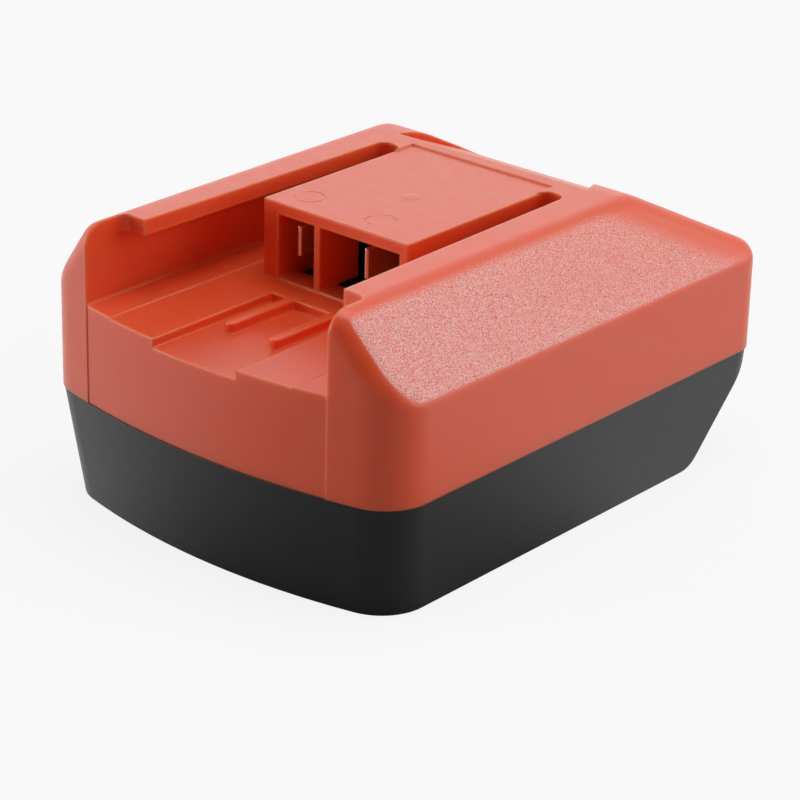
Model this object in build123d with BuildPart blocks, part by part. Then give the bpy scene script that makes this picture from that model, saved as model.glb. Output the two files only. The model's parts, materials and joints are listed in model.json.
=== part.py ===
"""Slide-on tool battery adapter: an orange upper moulding with a tool channel, a dark lower moulding
with a cavity for the donor pack, a sprung release latch, and the blades, board and leads between them.

Millimetres, +Z up. The origin is under the middle of the housing, in the plane that it rests on.
The channel's mouth faces -Y. Places along the housing are given as distances from its front.
"""

import os
from math import cos, pi, radians, sin, tan

from build123d import *

os.makedirs("parts", exist_ok=True)

# Housing: overall sizes
housing_width = 77.0
lower_height = 19.7
upper_height = 31.0
housing_wall = 2.2
front_bow = 5.4
front_corner_radius = 8.7
rear_corner_radius = 5.6
overrun = 6.0
running_gap = 0.35

# Upper moulding: deck, slanted side panels and rear slope
deck_half_width = 27.5
panel_foot_height = 17.35
edge_radius = 4.0
slope_setback = 3.8
slope_foot_height = 17.8
brow_radius = 10.0

# Tool channel: floor, lips and the crease beside the lips
slot_width = 4.7
channel_floor_height = 17.06
channel_length = 68.0
lip_thickness = 2.85
lip_front = 11.25
lip_root_radius = 1.8
lip_nose_radius = 1.0
lip_front_reach = 4.7
lip_rear_reach = 6.0
floor_step = 0.2
floor_step_half = 20.0
low_floor_height = 15.52
low_floor_half = 9.0
low_floor_rear = 28.0
rib_width = 1.8
rib_centre = 4.85
rib_front = 13.0
rib_height = 1.78
rib_edge_radius = 0.4

# Terminal block of the channel, with its two openings
block_half_width = 15.6
block_front = 33.0
block_sink = 0.3
block_sink_overrun = 2.4
bay_setback = 6.0
slot_corner_radius = 2.2
front_step = 0.15
strip_length = 2.4
divider_centre = -3.8
divider_width = 1.2
divider_depth = 9.7
left_opening_wall = 3.2
right_opening_wall = 1.55
opening_top_height = 28.6
opening_sill_height = 17.4
sill_depth = 4.5

# Lower moulding: draft, slanted rear and the cavity for the donor pack
seam_overhang = 0.3
side_draft = 2.05
front_draft = 2.5
rear_foot_inset = 15.5
rear_setback = 0.5
rear_foot_radius = 5.0
cavity_half_width = 28.25
cavity_front = 14.0
cavity_height = 12.4
rail_thickness = 3.2
cavity_mouth_half = 23.0
catch_half_width = 13.0
catch_setback = 6.0
catch_length = 8.0
catch_depth = 3.4
catch_wall = 1.6
tongue_width = 0.9
tongue_height = 1.5
tongue_gap = 0.1
tongue_setback = 0.2

# Screws that close the housing
housing_screw_radius = 1.45
housing_screw_head_radius = 2.7
housing_screw_head_height = 2.2
housing_screw_length = 18.0
housing_screw_recess = 5.0
screw_gap = 0.05
head_gap = 0.25
boss_wall = 1.8
counterbore_wall = 1.2
front_screw_x = 25.0
front_screw_from_front = 9.5
rear_screw_x = 32.4
rear_screw_from_rear = 27.5
screw_slot_share = 0.6
drive_depth_share = 0.5

# Blades that the tool's contacts slide onto
tool_blade_thickness = 0.8
tool_blade_height = 5.1
tool_blade_top_height = 27.1
tool_blade_setback = 1.0
tool_blade_rear_gap = 4.0
tool_blade_offsets = (-0.3, 0.575)
blade_tail_width = 6.0
blade_tail_drop = 3.9
blade_fit = 0.05
blade_nose = 0.25

# Carrier that holds the tool blades in the block
carrier_gap = 0.25
carrier_floor = 2.0
carrier_flange = 2.16
carrier_flange_overlap = 0.95
carrier_flange_overrun = 8.0
tower_half_width = 2.2
tower_length = 11.0
carrier_screw_x = 8.0
carrier_screw_setback = 0.7
small_screw_radius = 1.2
small_screw_head_radius = 2.2
small_screw_head_height = 1.6
small_screw_length = 7.0

# Block and blades that the donor pack's contacts slide onto
pack_block_half_width = 19.0
pack_block_length = 12.7
pack_block_drop = 8.4
pack_ear_thickness = 3.0
pack_ear_reach = 7.5
pack_ear_length = 7.0
pack_screw_x = 22.6
pack_spigot_margin = 1.4
pack_spigot_rise = 3.4
window_half_width = 18.0
window_front = 16.0
window_length = 10.0
pack_blade_thickness = 0.8
pack_blade_height = 6.0
pack_blade_base = 5.2
pack_blade_reach = 17.0
sense_blade_reach = 11.0
pack_blade_x = 13.0
pack_tail_width = 5.0
pack_tail_top = 21.0

# Circuit board and what is soldered to it
board_half_width = 26.0
board_front = 33.0
board_length = 24.0
board_thickness = 1.6
standoff_height = 6.9
standoff_radius = 2.6
board_screw_inset = 3.4
board_corner_radius = 1.5
capacitor_radius = 3.15
capacitor_height = 7.5
capacitor_inset = 6.6
capacitor_from_board_front = 10.6
capacitor_vent_depth = 0.2
capacitor_groove = 0.3
fuse_size = (10.1, 3.8, 2.8)
fuse_place = (2.0, 10.0)
fuse_cap_length = 1.8
transistor_size = (6.6, 6.1, 2.3)
transistor_place = (-2.4, 19.0)
transistor_leg_width = 0.8
transistor_leg_length = 2.2
transistor_leg_thickness = 0.5
chip_size = (3.2, 1.6, 0.6)
chip_pitch = (4.6, 3.0)
chip_count = (2, 4)
chip_inset = 6.0
chip_from_board_front = 8.0

# Insulated leads: straight runs joined by arcs
power_lead_radius = 1.3
sense_lead_radius = 0.75
lead_drop = 4.16
lead_arc_share = 0.45

# Release latch: pad in the rear recess, yoke, arms and teeth, with its two springs
latch_travel = 4.5
pad_front_half = 20.6
pad_waist_half = 15.8
pad_rear_half = 15.0
pad_ramp_length = 11.2
pad_waist_height = 26.6
pad_scoop_length = 13.2
pad_rear_inset = 4.3
pad_rear_height = 18.2
pad_scoop = 1.5
pad_thickness = 7.0
pad_drop = 0.12
pad_corner_radius = 1.4
pad_edge_radius = 0.5
yoke_overrun = 4.0
leg_half_width = 8.0
leg_inset = 2.0
arm_block_gap = 0.6
arm_width = 4.4
arm_height = 4.0
arm_gap = 0.3
tooth_setback = 9.6
tooth_length = 5.2
tooth_rise = 4.0
tooth_ramp = 3.0
tooth_window_gap = 0.4
spring_wire_radius = 0.35
spring_coil_radius = 3.3
spring_turns = 7
spring_seat_gap = 0.05
spring_x = 12.0
spring_inset = 6.0
guide_post_radius = 2.0
guide_gap = 0.3
guide_post_top = 34.0

# Heights and places that follow from the sizes above
half_width = housing_width / 2
seam_z = lower_height
deck_z = seam_z + upper_height
floor_z = seam_z + channel_floor_height
floor_under_z = floor_z - housing_wall
low_floor_z = seam_z + low_floor_height
low_floor_under_z = low_floor_z - housing_wall
lip_under_z = deck_z - lip_thickness
sill_z = seam_z + opening_sill_height
opening_top_z = seam_z + opening_top_height
opening_left = left_opening_wall - block_half_width
opening_right = block_half_width - right_opening_wall
divider_left = divider_centre - divider_width / 2
divider_right = divider_centre + divider_width / 2
mouth_rear_half = block_half_width + slot_width
channel_half_width = mouth_rear_half + lip_rear_reach
mouth_front_half = channel_half_width - lip_front_reach
block_bay_rear = channel_length - bay_setback
block_sink_rear = channel_length + block_sink_overrun
strip_rear = block_sink_rear + strip_length
slope_start = strip_rear + slope_setback
carrier_flange_rear = block_bay_rear + carrier_flange_overrun
carrier_screw_from_front = channel_length - carrier_screw_setback
pad_waist = strip_rear + pad_ramp_length
pad_rear = pad_waist + pad_scoop_length
housing_length = pad_rear + pad_rear_inset
rear_foot = housing_length - rear_foot_inset
rear_screw_from_front = housing_length - rear_screw_from_rear
yoke_rear = pad_waist + yoke_overrun
spring_from_front = yoke_rear - spring_inset
tooth_front = channel_length - tooth_setback
catch_front = channel_length - catch_setback
lead_height = floor_under_z - lead_drop
arm_inner = block_half_width + arm_block_gap
ceiling_z = cavity_height + housing_wall
yoke_top_z = floor_under_z - arm_gap
yoke_under_z = yoke_top_z - arm_height
board_z = ceiling_z + standoff_height
board_top_z = board_z + board_thickness
tool_blade_front = block_front + tool_blade_setback
tool_blade_rear = block_bay_rear - tool_blade_rear_gap
tool_blade_left_x = (opening_left + divider_left) / 2 + tool_blade_offsets[0]
tool_blade_right_x = (divider_right + opening_right) / 2 + tool_blade_offsets[1]
tool_blade_x = (tool_blade_left_x, tool_blade_right_x)
tool_blade_top_z = seam_z + tool_blade_top_height
tool_tail_end_z = floor_under_z - carrier_flange - blade_tail_drop
tool_tail_front = tool_blade_rear - blade_tail_width
tool_tail_middle = tool_blade_rear - blade_tail_width / 2
pack_block_front = cavity_front + running_gap
pack_block_rear = pack_block_front + pack_block_length
window_middle = window_front + window_length / 2
tongue_inner_inset = housing_wall - tongue_setback
tongue_outer_inset = tongue_inner_inset - tongue_width


def at(distance):
    """The Y of a place that lies this far behind the housing's front."""
    return distance - housing_length / 2


def slab(x_low, x_high, front, rear, z_low, z_high):
    """A plain block between two corners."""
    with BuildPart() as block:
        with BuildSketch(Plane.XY.offset(z_low)):
            with Locations(((x_low + x_high) / 2, at((front + rear) / 2))):
                Rectangle(x_high - x_low, rear - front)
        extrude(amount=z_high - z_low)
    return block.part


def post(x, distance, radius, z_low, z_high):
    """A round upright between two heights."""
    with BuildPart() as column:
        with BuildSketch(Plane.XY.offset(z_low)):
            with Locations((x, at(distance))):
                Circle(radius)
        extrude(amount=z_high - z_low)
    return column.part


def side_prism(points, x_low, x_high):
    """A solid with the same outline all along X; its points are (distance, height)."""
    with BuildPart() as prism:
        with BuildSketch(Plane.YZ.offset(x_low)):
            with BuildLine():
                Polyline([(at(distance), height) for distance, height in points], close=True)
            make_face()
        extrude(amount=x_high - x_low)
    return prism.part


def cross_prism(points, front, rear):
    """A solid with the same outline all along Y; its points are (x, height)."""
    with BuildPart() as prism:
        with BuildSketch(Plane.XZ.offset(-at(rear))):
            with BuildLine():
                Polyline(points, close=True)
            make_face()
        extrude(amount=rear - front)
    return prism.part


def parallel_bow(inset):
    """How far the front bows over its width where it runs parallel to the outline, drawn in by inset."""
    curve = (half_width ** 2 + front_bow ** 2) / (2 * front_bow) - inset
    return curve - (curve ** 2 - (half_width - inset) ** 2) ** 0.5


def plan_outline(half, front, rear, height, inset=0):
    """The housing seen from above: a shallow bowed front, straight sides and corners less round by inset."""
    side_front = front + parallel_bow(inset)
    with BuildSketch(Plane.XY.offset(height)) as plan:
        with BuildLine():
            ThreePointArc((-half, at(side_front)), (0, at(front)), (half, at(side_front)))
            Polyline((half, at(side_front)), (half, at(rear)), (-half, at(rear)), (-half, at(side_front)))
        make_face()
        front_corners = plan.vertices().group_by(Axis.Y)[0]
        fillet(front_corners, radius=front_corner_radius - inset)
        rear_corners = plan.vertices().group_by(Axis.Y)[-1]
        fillet(rear_corners, radius=rear_corner_radius - inset)
    return plan.sketch


def upper_form(inset):
    """The upper moulding's outer shape, with its side panels and rear slope, drawn in by inset."""
    panel_slope = (upper_height - panel_foot_height) / (half_width - deck_half_width)
    panel_inset = inset * (1 + panel_slope ** 2) ** 0.5 / panel_slope
    rear_slope = (upper_height - slope_foot_height) / (housing_length - slope_start)
    slope_inset = inset * (1 + rear_slope ** 2) ** 0.5 / rear_slope
    top_z = deck_z - inset
    with BuildPart() as form:
        outline = plan_outline(half_width - inset, inset, housing_length - inset, seam_z, inset)
        extrude(outline, amount=upper_height - inset)
        section = [
            (half_width, seam_z - overrun),
            (half_width, seam_z + panel_foot_height - panel_slope * panel_inset),
            (deck_half_width - panel_inset + inset / panel_slope, top_z),
        ]
        mirrored = [(-x, height) for x, height in reversed(section)]
        add(cross_prism(section + mirrored, -overrun, housing_length + overrun), mode=Mode.INTERSECT)
        slope_foot_z = seam_z + slope_foot_height - rear_slope * (slope_inset - inset)
        with BuildSketch(Plane.YZ.offset(-housing_width)) as profile:
            with BuildLine():
                Polyline(
                    (at(-overrun), seam_z - overrun),
                    (at(housing_length - inset), seam_z - overrun),
                    (at(housing_length - inset), slope_foot_z),
                    (at(slope_start - slope_inset + inset / rear_slope), top_z),
                    (at(-overrun), top_z),
                    close=True,
                )
            make_face()
            brow_corner = profile.vertices().group_by(Axis.Y)[-1].sort_by(Axis.X)[-1]
            fillet(brow_corner, radius=brow_radius - inset)
        extrude(amount=2 * housing_width, mode=Mode.INTERSECT)
    return form.part


def rounded_upper_form():
    """The upper moulding's outer shape with all its edges rounded, down to the seam."""
    with BuildPart() as form:
        add(offset(upper_form(edge_radius), amount=edge_radius, kind=Kind.ARC, mode=Mode.PRIVATE))
        add(slab(-housing_width, housing_width, -overrun, housing_length + overrun, 0, seam_z),
            mode=Mode.SUBTRACT)
    return form.part


def lower_form(inset):
    """The lower moulding's outer shape: drafted front and sides, and a slanted rear."""
    seam_half = half_width - seam_overhang
    with BuildPart() as form:
        foot_half = seam_half - side_draft - inset
        foot = plan_outline(foot_half, front_draft + inset, housing_length - inset, 0, inset)
        rim = plan_outline(seam_half - inset, inset, housing_length - inset, seam_z, inset)
        loft([foot, rim], ruled=True)
        with BuildSketch(Plane.YZ.offset(-housing_width)) as profile:
            with BuildLine():
                Polyline(
                    (at(-overrun), inset),
                    (at(rear_foot - inset), inset),
                    (at(housing_length - rear_setback - inset), seam_z),
                    (at(housing_length - rear_setback - inset), seam_z + overrun),
                    (at(-overrun), seam_z + overrun),
                    close=True,
                )
            make_face()
            foot_corner = profile.vertices().group_by(Axis.Y)[0].sort_by(Axis.X)[-1]
            fillet(foot_corner, radius=rear_foot_radius - inset)
        extrude(amount=2 * housing_width, mode=Mode.INTERSECT)
    return form.part


housing_screw_places = [
    (side * x, distance)
    for x, distance in ((front_screw_x, front_screw_from_front), (rear_screw_x, rear_screw_from_front))
    for side in (-1, 1)
]
housing_boss_radius = housing_screw_radius + screw_gap + boss_wall
counterbore_radius = housing_screw_head_radius + head_gap
counterbore_boss_radius = counterbore_radius + counterbore_wall
small_boss_radius = small_screw_radius + screw_gap + boss_wall
carrier_screw_places = [(side * carrier_screw_x, carrier_screw_from_front) for side in (-1, 1)]
pack_screw_places = [(side * pack_screw_x, window_middle) for side in (-1, 1)]
board_screw_x = board_half_width - board_screw_inset
board_screw_places = [
    (side * board_screw_x, distance)
    for distance in (board_front + board_screw_inset, board_front + board_length - board_screw_inset)
    for side in (-1, 1)
]


def pad_outline(margin, height):
    """The latch pad seen from above: wide behind the strip, waisted where the thumb rests."""
    front = strip_rear + running_gap - margin
    rear = pad_rear + margin
    with BuildSketch(Plane.XY.offset(height)) as plan:
        with BuildLine():
            Polyline(
                (pad_front_half + margin, at(front)),
                (pad_waist_half + margin, at(pad_waist)),
                (pad_rear_half + margin, at(rear)),
                (-pad_rear_half - margin, at(rear)),
                (-pad_waist_half - margin, at(pad_waist)),
                (-pad_front_half - margin, at(front)),
                close=True,
            )
        make_face()
        fillet(plan.vertices().group_by(Axis.Y)[-1], radius=pad_corner_radius + margin)
    return plan.sketch


def rim_ring(outer_inset, inner_inset, z_low, height):
    """A ring that follows the housing's plan between two insets from its outline."""
    with BuildPart() as ring:
        for inset, mode in ((outer_inset, Mode.ADD), (inner_inset, Mode.SUBTRACT)):
            outline = plan_outline(half_width - inset, inset, housing_length - inset, z_low, inset)
            extrude(outline, amount=height, mode=mode)
    return ring.part


def mouth_half(distance):
    """Half the gap between the lips, which narrows evenly towards the rear."""
    share = (distance - lip_front) / (channel_length - lip_front)
    return mouth_front_half + share * (mouth_rear_half - mouth_front_half)


def screw(x, distance, bearing_z, length, radius, head_radius, head_height, way):
    """A pan head screw with a cross recess; way is 1 when it points up and -1 when it points down."""
    slot = head_radius * screw_slot_share
    depth = head_height * drive_depth_share
    with BuildPart() as fastener:
        with BuildSketch(Plane.XY.offset(bearing_z)):
            with Locations((x, at(distance))):
                Circle(radius)
        extrude(amount=way * length)
        with BuildSketch(Plane.XY.offset(bearing_z)):
            with Locations((x, at(distance))):
                Circle(head_radius)
        extrude(amount=-way * head_height)
        with BuildSketch(Plane.XY.offset(bearing_z - way * head_height)):
            with Locations((x, at(distance))):
                Rectangle(2 * slot, slot / 2)
                Rectangle(slot / 2, 2 * slot)
        extrude(amount=way * depth, mode=Mode.SUBTRACT)
    return fastener.part


def keep(name, piece):
    """Labels a finished piece and writes its file."""
    piece.label = name
    export_step(piece, f"parts/{name}.step")


# Upper moulding: the shell's hollow, the bosses in it and the channel cut into it
with BuildPart() as upper_hollow:
    add(upper_form(housing_wall))
    core_half = channel_half_width + housing_wall
    add(slab(-core_half, core_half, -overrun, strip_rear, floor_under_z, deck_z), mode=Mode.SUBTRACT)
    low_half = low_floor_half + housing_wall
    low_rear = low_floor_rear + housing_wall
    add(slab(-low_half, low_half, -overrun, low_rear, low_floor_under_z, floor_z), mode=Mode.SUBTRACT)

with BuildPart() as upper_bosses:
    for x, distance in housing_screw_places:
        add(post(x, distance, housing_boss_radius, seam_z, deck_z))
    add(upper_form(housing_wall / 2), mode=Mode.INTERSECT)

with BuildPart() as channel:
    step_z = floor_z + floor_step
    open_z = deck_z + overrun
    add(slab(-channel_half_width, channel_half_width, -overrun, block_front, step_z, lip_under_z))
    with BuildSketch(Plane.XY.offset(lip_under_z)) as mouth:
        with BuildLine():
            Polyline(
                (channel_half_width, at(-overrun)),
                (channel_half_width, at(lip_front)),
                (mouth_front_half, at(lip_front)),
                (mouth_half(block_front), at(block_front)),
                (-mouth_half(block_front), at(block_front)),
                (-mouth_front_half, at(lip_front)),
                (-channel_half_width, at(lip_front)),
                (-channel_half_width, at(-overrun)),
                close=True,
            )
        make_face()
        lip_corners = mouth.vertices().group_by(Axis.Y)[1].sort_by(Axis.X)
        fillet([lip_corners[0], lip_corners[-1]], radius=lip_root_radius)
        fillet(lip_corners[1:-1], radius=lip_nose_radius)
    extrude(amount=open_z - lip_under_z)
    for side in (-1, 1):
        with BuildSketch(Plane.XY.offset(step_z)) as under_lip:
            with Locations((side * (block_half_width + channel_half_width) / 2, at(block_front))):
                Rectangle(channel_half_width - block_half_width, channel_length - block_front,
                          align=(Align.CENTER, Align.MIN))
            fillet(under_lip.vertices().group_by(Axis.Y)[-1], radius=slot_corner_radius)
        extrude(amount=lip_under_z - step_z)
        with BuildSketch(Plane.XY.offset(lip_under_z)) as slot:
            with BuildLine():
                Polyline(
                    (side * block_half_width, at(block_front)),
                    (side * mouth_half(block_front), at(block_front)),
                    (side * mouth_rear_half, at(channel_length)),
                    (side * block_half_width, at(channel_length)),
                    close=True,
                )
            make_face()
            fillet(slot.vertices().group_by(Axis.Y)[-1], radius=slot_corner_radius)
        extrude(amount=open_z - lip_under_z)
        low, high = sorted((side * block_half_width, side * floor_step_half))
        add(slab(low, high, block_front, channel_length - slot_corner_radius, floor_z, step_z))
    add(slab(-floor_step_half, floor_step_half, -overrun, block_front, floor_z, step_z))
    add(slab(-low_floor_half, low_floor_half, -overrun, low_floor_rear, low_floor_z, step_z))

with BuildPart() as floor_ribs:
    for side in (-1, 1):
        nose = rib_front + rib_width / 2
        rear = low_floor_rear + rib_width / 2
        with BuildSketch(Plane.XY.offset(low_floor_z)):
            with Locations((side * rib_centre, at((nose + rear) / 2))):
                Rectangle(rib_width, rear - nose)
            with Locations((side * rib_centre, at(nose))):
                Circle(rib_width / 2)
        extrude(amount=rib_height)
    fillet(floor_ribs.faces().group_by(Axis.Z)[-1].edges(), radius=rib_edge_radius)

# The block's bay behind its two openings, open underneath for the blade carrier
with BuildPart() as block_bay:
    add(slab(opening_left, divider_left, block_front - overrun, block_bay_rear, sill_z, opening_top_z))
    add(slab(divider_right, opening_right, block_front - overrun, block_bay_rear, sill_z, opening_top_z))
    divider_rear = block_front + divider_depth
    add(slab(divider_left, divider_right, divider_rear, block_bay_rear, sill_z, opening_top_z))
    sill_rear = block_front + sill_depth
    add(slab(opening_left, opening_right, sill_rear, block_bay_rear, floor_under_z - overrun, sill_z))

# The hollow under the rear of the deck, with the two posts that the carrier is screwed to
with BuildPart() as rear_hollow:
    rear_hollow_front = block_bay_rear + housing_wall
    rear_hollow_rear = strip_rear - housing_wall
    rear_hollow_half = block_half_width - housing_wall
    rear_hollow_top = deck_z - block_sink - housing_wall
    add(slab(-rear_hollow_half, rear_hollow_half, rear_hollow_front, rear_hollow_rear,
             floor_under_z, rear_hollow_top))
    for x, distance in carrier_screw_places:
        add(post(x, distance, small_boss_radius, floor_under_z, rear_hollow_top), mode=Mode.SUBTRACT)
        pilot_top = floor_under_z + small_screw_length
        add(post(x, distance, small_screw_radius + screw_gap, floor_under_z, pilot_top))

with BuildPart() as front_face_step:
    add(slab(-channel_half_width, channel_half_width, -overrun, overrun, seam_z, deck_z))
    shifted = plan_outline(half_width, front_step, housing_length, seam_z)
    extrude(shifted, amount=upper_height, mode=Mode.SUBTRACT)

with BuildPart() as pad_recess:
    recess_z = seam_z + pad_rear_height - pad_thickness - latch_travel
    extrude(pad_outline(running_gap, recess_z), amount=deck_z + overrun - recess_z)

with BuildPart() as upper_housing:
    add(rounded_upper_form())
    add(upper_hollow.part, mode=Mode.SUBTRACT)
    add(upper_bosses.part)
    add(channel.part, mode=Mode.SUBTRACT)
    add(floor_ribs.part)
    sunk_z = deck_z - block_sink
    add(slab(-block_half_width, block_half_width, block_front - overrun, block_sink_rear,
             sunk_z, deck_z + overrun), mode=Mode.SUBTRACT)
    add(block_bay.part, mode=Mode.SUBTRACT)
    add(rear_hollow.part, mode=Mode.SUBTRACT)
    add(front_face_step.part, mode=Mode.SUBTRACT)
    add(pad_recess.part, mode=Mode.SUBTRACT)
    for side in (-1, 1):
        inner = side * (arm_inner - tooth_window_gap)
        outer = side * (arm_inner + arm_width + tooth_window_gap)
        low, high = sorted((inner, outer))
        add(slab(low, high, tooth_front - tooth_window_gap, tooth_front + tooth_length + tooth_window_gap,
                 floor_under_z - overrun, step_z), mode=Mode.SUBTRACT)
    rebate_inset = tongue_outer_inset - tongue_gap
    add(rim_ring(rebate_inset, housing_wall + tongue_setback, seam_z, tongue_height + tongue_gap),
        mode=Mode.SUBTRACT)
    for x, distance in housing_screw_places:
        pilot_length = housing_screw_length + housing_screw_recess - seam_z + tongue_gap
        add(post(x, distance, housing_screw_radius + screw_gap, seam_z, seam_z + pilot_length),
            mode=Mode.SUBTRACT)
keep("upper_housing", upper_housing.part)

# Lower moulding: a tray with the donor pack's cavity let into its underside
with BuildPart() as lower_hollow:
    add(lower_form(housing_wall))
    core_half = cavity_half_width + housing_wall
    add(slab(-core_half, core_half, cavity_front - housing_wall, housing_length + overrun,
             -overrun, ceiling_z), mode=Mode.SUBTRACT)
    catch_half = catch_half_width + catch_wall
    add(slab(-catch_half, catch_half, catch_front - catch_wall, catch_front + catch_length + catch_wall,
             -overrun, cavity_height + catch_depth + catch_wall), mode=Mode.SUBTRACT)

with BuildPart() as lower_bosses:
    for x, distance in housing_screw_places:
        add(post(x, distance, housing_boss_radius, 0, seam_z))
        add(post(x, distance, counterbore_boss_radius, 0, housing_screw_recess + housing_wall))
    for x, distance in board_screw_places:
        add(post(x, distance, standoff_radius, cavity_height, board_z))
    for x, distance in pack_screw_places:
        pack_boss_top = cavity_height - pack_ear_thickness + small_screw_length + boss_wall
        add(post(x, distance, small_boss_radius, cavity_height, pack_boss_top))
    for side in (-1, 1):
        add(post(side * spring_x, spring_from_front, guide_post_radius, cavity_height, seam_z))
    add(lower_form(housing_wall / 2), mode=Mode.INTERSECT)

with BuildPart() as lower_housing:
    add(lower_form(0))
    add(lower_hollow.part, mode=Mode.SUBTRACT)
    add(lower_bosses.part)
    for side in (-1, 1):
        add(post(side * spring_x, spring_from_front, guide_post_radius, ceiling_z, guide_post_top))
    for x, distance in board_screw_places:
        add(post(x, distance, standoff_radius, ceiling_z, board_z))
    cavity_rear = housing_length + overrun
    add(slab(-cavity_half_width, cavity_half_width, cavity_front, cavity_rear,
             rail_thickness, cavity_height), mode=Mode.SUBTRACT)
    add(slab(-cavity_mouth_half, cavity_mouth_half, cavity_front, cavity_rear,
             -overrun, rail_thickness), mode=Mode.SUBTRACT)
    add(slab(-catch_half_width, catch_half_width, catch_front, catch_front + catch_length,
             cavity_height, cavity_height + catch_depth), mode=Mode.SUBTRACT)
    add(slab(-window_half_width, window_half_width, window_front, window_front + window_length,
             cavity_height, ceiling_z + overrun), mode=Mode.SUBTRACT)
    add(rim_ring(tongue_outer_inset, tongue_inner_inset, seam_z, tongue_height))
    for x, distance in housing_screw_places:
        add(post(x, distance, housing_screw_radius + screw_gap, 0, seam_z), mode=Mode.SUBTRACT)
        add(post(x, distance, counterbore_radius, -overrun, housing_screw_recess), mode=Mode.SUBTRACT)
    for x, distance in board_screw_places:
        pilot_z = board_top_z - small_screw_length - screw_gap
        add(post(x, distance, small_screw_radius + screw_gap, pilot_z, board_z), mode=Mode.SUBTRACT)
    for x, distance in pack_screw_places:
        pilot_z = cavity_height - pack_ear_thickness + small_screw_length + screw_gap
        add(post(x, distance, small_screw_radius + screw_gap, cavity_height, pilot_z), mode=Mode.SUBTRACT)
keep("lower_housing", lower_housing.part)


# Release latch: the pad and what it carries, in one moulding
with BuildPart() as latch_pad:
    pad_front = strip_rear + running_gap
    pad_front_z = deck_z - pad_drop
    pad_waist_z = seam_z + pad_waist_height
    pad_rear_z = seam_z + pad_rear_height
    pad_low_z = pad_rear_z - pad_thickness
    extrude(pad_outline(0, pad_low_z), amount=deck_z - pad_low_z)
    with BuildSketch(Plane.YZ.offset(-half_width)):
        with BuildLine():
            Line((at(pad_front), pad_front_z), (at(pad_waist), pad_waist_z))
            scoop_middle = (at((pad_waist + pad_rear) / 2), (pad_waist_z + pad_rear_z) / 2 - pad_scoop)
            ThreePointArc((at(pad_waist), pad_waist_z), scoop_middle, (at(pad_rear), pad_rear_z))
            Polyline(
                (at(pad_rear), pad_rear_z),
                (at(pad_rear), pad_rear_z - pad_thickness),
                (at(pad_waist), pad_waist_z - pad_thickness),
                (at(pad_front), pad_front_z - pad_thickness),
                (at(pad_front), pad_front_z),
            )
        make_face()
    extrude(amount=housing_width, mode=Mode.INTERSECT)
    pad_top_edges = latch_pad.faces().filter_by(lambda face: face.normal_at().Z > 0).edges()
    rim_edges = [edge for edge in pad_top_edges if abs(edge.center().X) > leg_half_width]
    fillet(rim_edges, radius=pad_edge_radius)

with BuildPart() as release_latch:
    add(latch_pad.part)
    yoke_half = arm_inner + arm_width
    add(slab(-yoke_half, yoke_half, pad_front, yoke_rear, yoke_under_z, yoke_top_z))
    leg_top = pad_waist_z - pad_thickness / 2
    add(slab(-leg_half_width, leg_half_width, pad_front + leg_inset, yoke_rear - leg_inset,
             yoke_top_z, leg_top))
    tooth_z = floor_z + tooth_rise
    tooth_rear = tooth_front + tooth_length
    tooth_profile = [
        (tooth_front, yoke_under_z),
        (tooth_front, tooth_z - tooth_ramp),
        (tooth_front + tooth_ramp, tooth_z),
        (tooth_rear, tooth_z),
        (tooth_rear, yoke_top_z),
        (pad_front, yoke_top_z),
        (pad_front, yoke_under_z),
    ]
    for side in (-1, 1):
        low, high = sorted((side * arm_inner, side * yoke_half))
        add(side_prism(tooth_profile, low, high))
        add(post(side * spring_x, spring_from_front, guide_post_radius + guide_gap,
                 yoke_under_z - overrun, yoke_top_z + overrun / 2), mode=Mode.SUBTRACT)
keep("release_latch", release_latch.part)


def helix_point(turn, height, x):
    """A point on a latch spring's middle line, by the number of turns from its lower end."""
    angle = 2 * pi * turn
    start_z = ceiling_z + spring_seat_gap + spring_wire_radius
    centre_y = at(spring_from_front)
    return Vector(
        x + spring_coil_radius * cos(angle),
        centre_y + spring_coil_radius * sin(angle),
        start_z + height * turn / spring_turns,
    )


def helix_direction(turn, height):
    """The way that the wire runs there."""
    angle = 2 * pi * turn
    rise = height / (spring_turns * 2 * pi * spring_coil_radius)
    return Vector(-sin(angle), cos(angle), rise).normalized()


def latch_spring(x):
    """A compression spring, each quarter turn a pair of arcs that share their tangent."""
    height = yoke_under_z - ceiling_z - 2 * spring_seat_gap - 2 * spring_wire_radius
    quarters = 4 * spring_turns
    with BuildPart() as spring:
        with BuildLine() as wire:
            for quarter in range(quarters):
                first, last = quarter / 4, (quarter + 1) / 4
                start, end = helix_point(first, height, x), helix_point(last, height, x)
                start_way, end_way = helix_direction(first, height), helix_direction(last, height)
                chord = end - start
                reach = chord.dot(start_way + end_way)
                bend = 2 * (1 - start_way.dot(end_way))
                arm = ((reach ** 2 + bend * chord.dot(chord)) ** 0.5 - reach) / bend
                joint = (start + end) / 2 + (start_way - end_way) * (arm / 2)
                first_arc = TangentArc(start, joint, tangent=start_way)
                TangentArc(joint, end, tangent=first_arc % 1)
        middle = wire.wire()
        with BuildSketch(Plane(origin=middle @ 0, z_dir=middle % 0)):
            Circle(spring_wire_radius)
        sweep()
    turn_gap = height / spring_turns - 2 * spring_wire_radius
    print(f"latch spring at x {x}: {spring_turns} turns, {turn_gap:.2f} between turns,",
          f"volume {spring.part.volume:.1f}, section x length",
          f"{pi * spring_wire_radius ** 2 * middle.length:.1f}")
    return spring.part


keep("latch_spring_left", latch_spring(-spring_x))
keep("latch_spring_right", latch_spring(spring_x))


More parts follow.
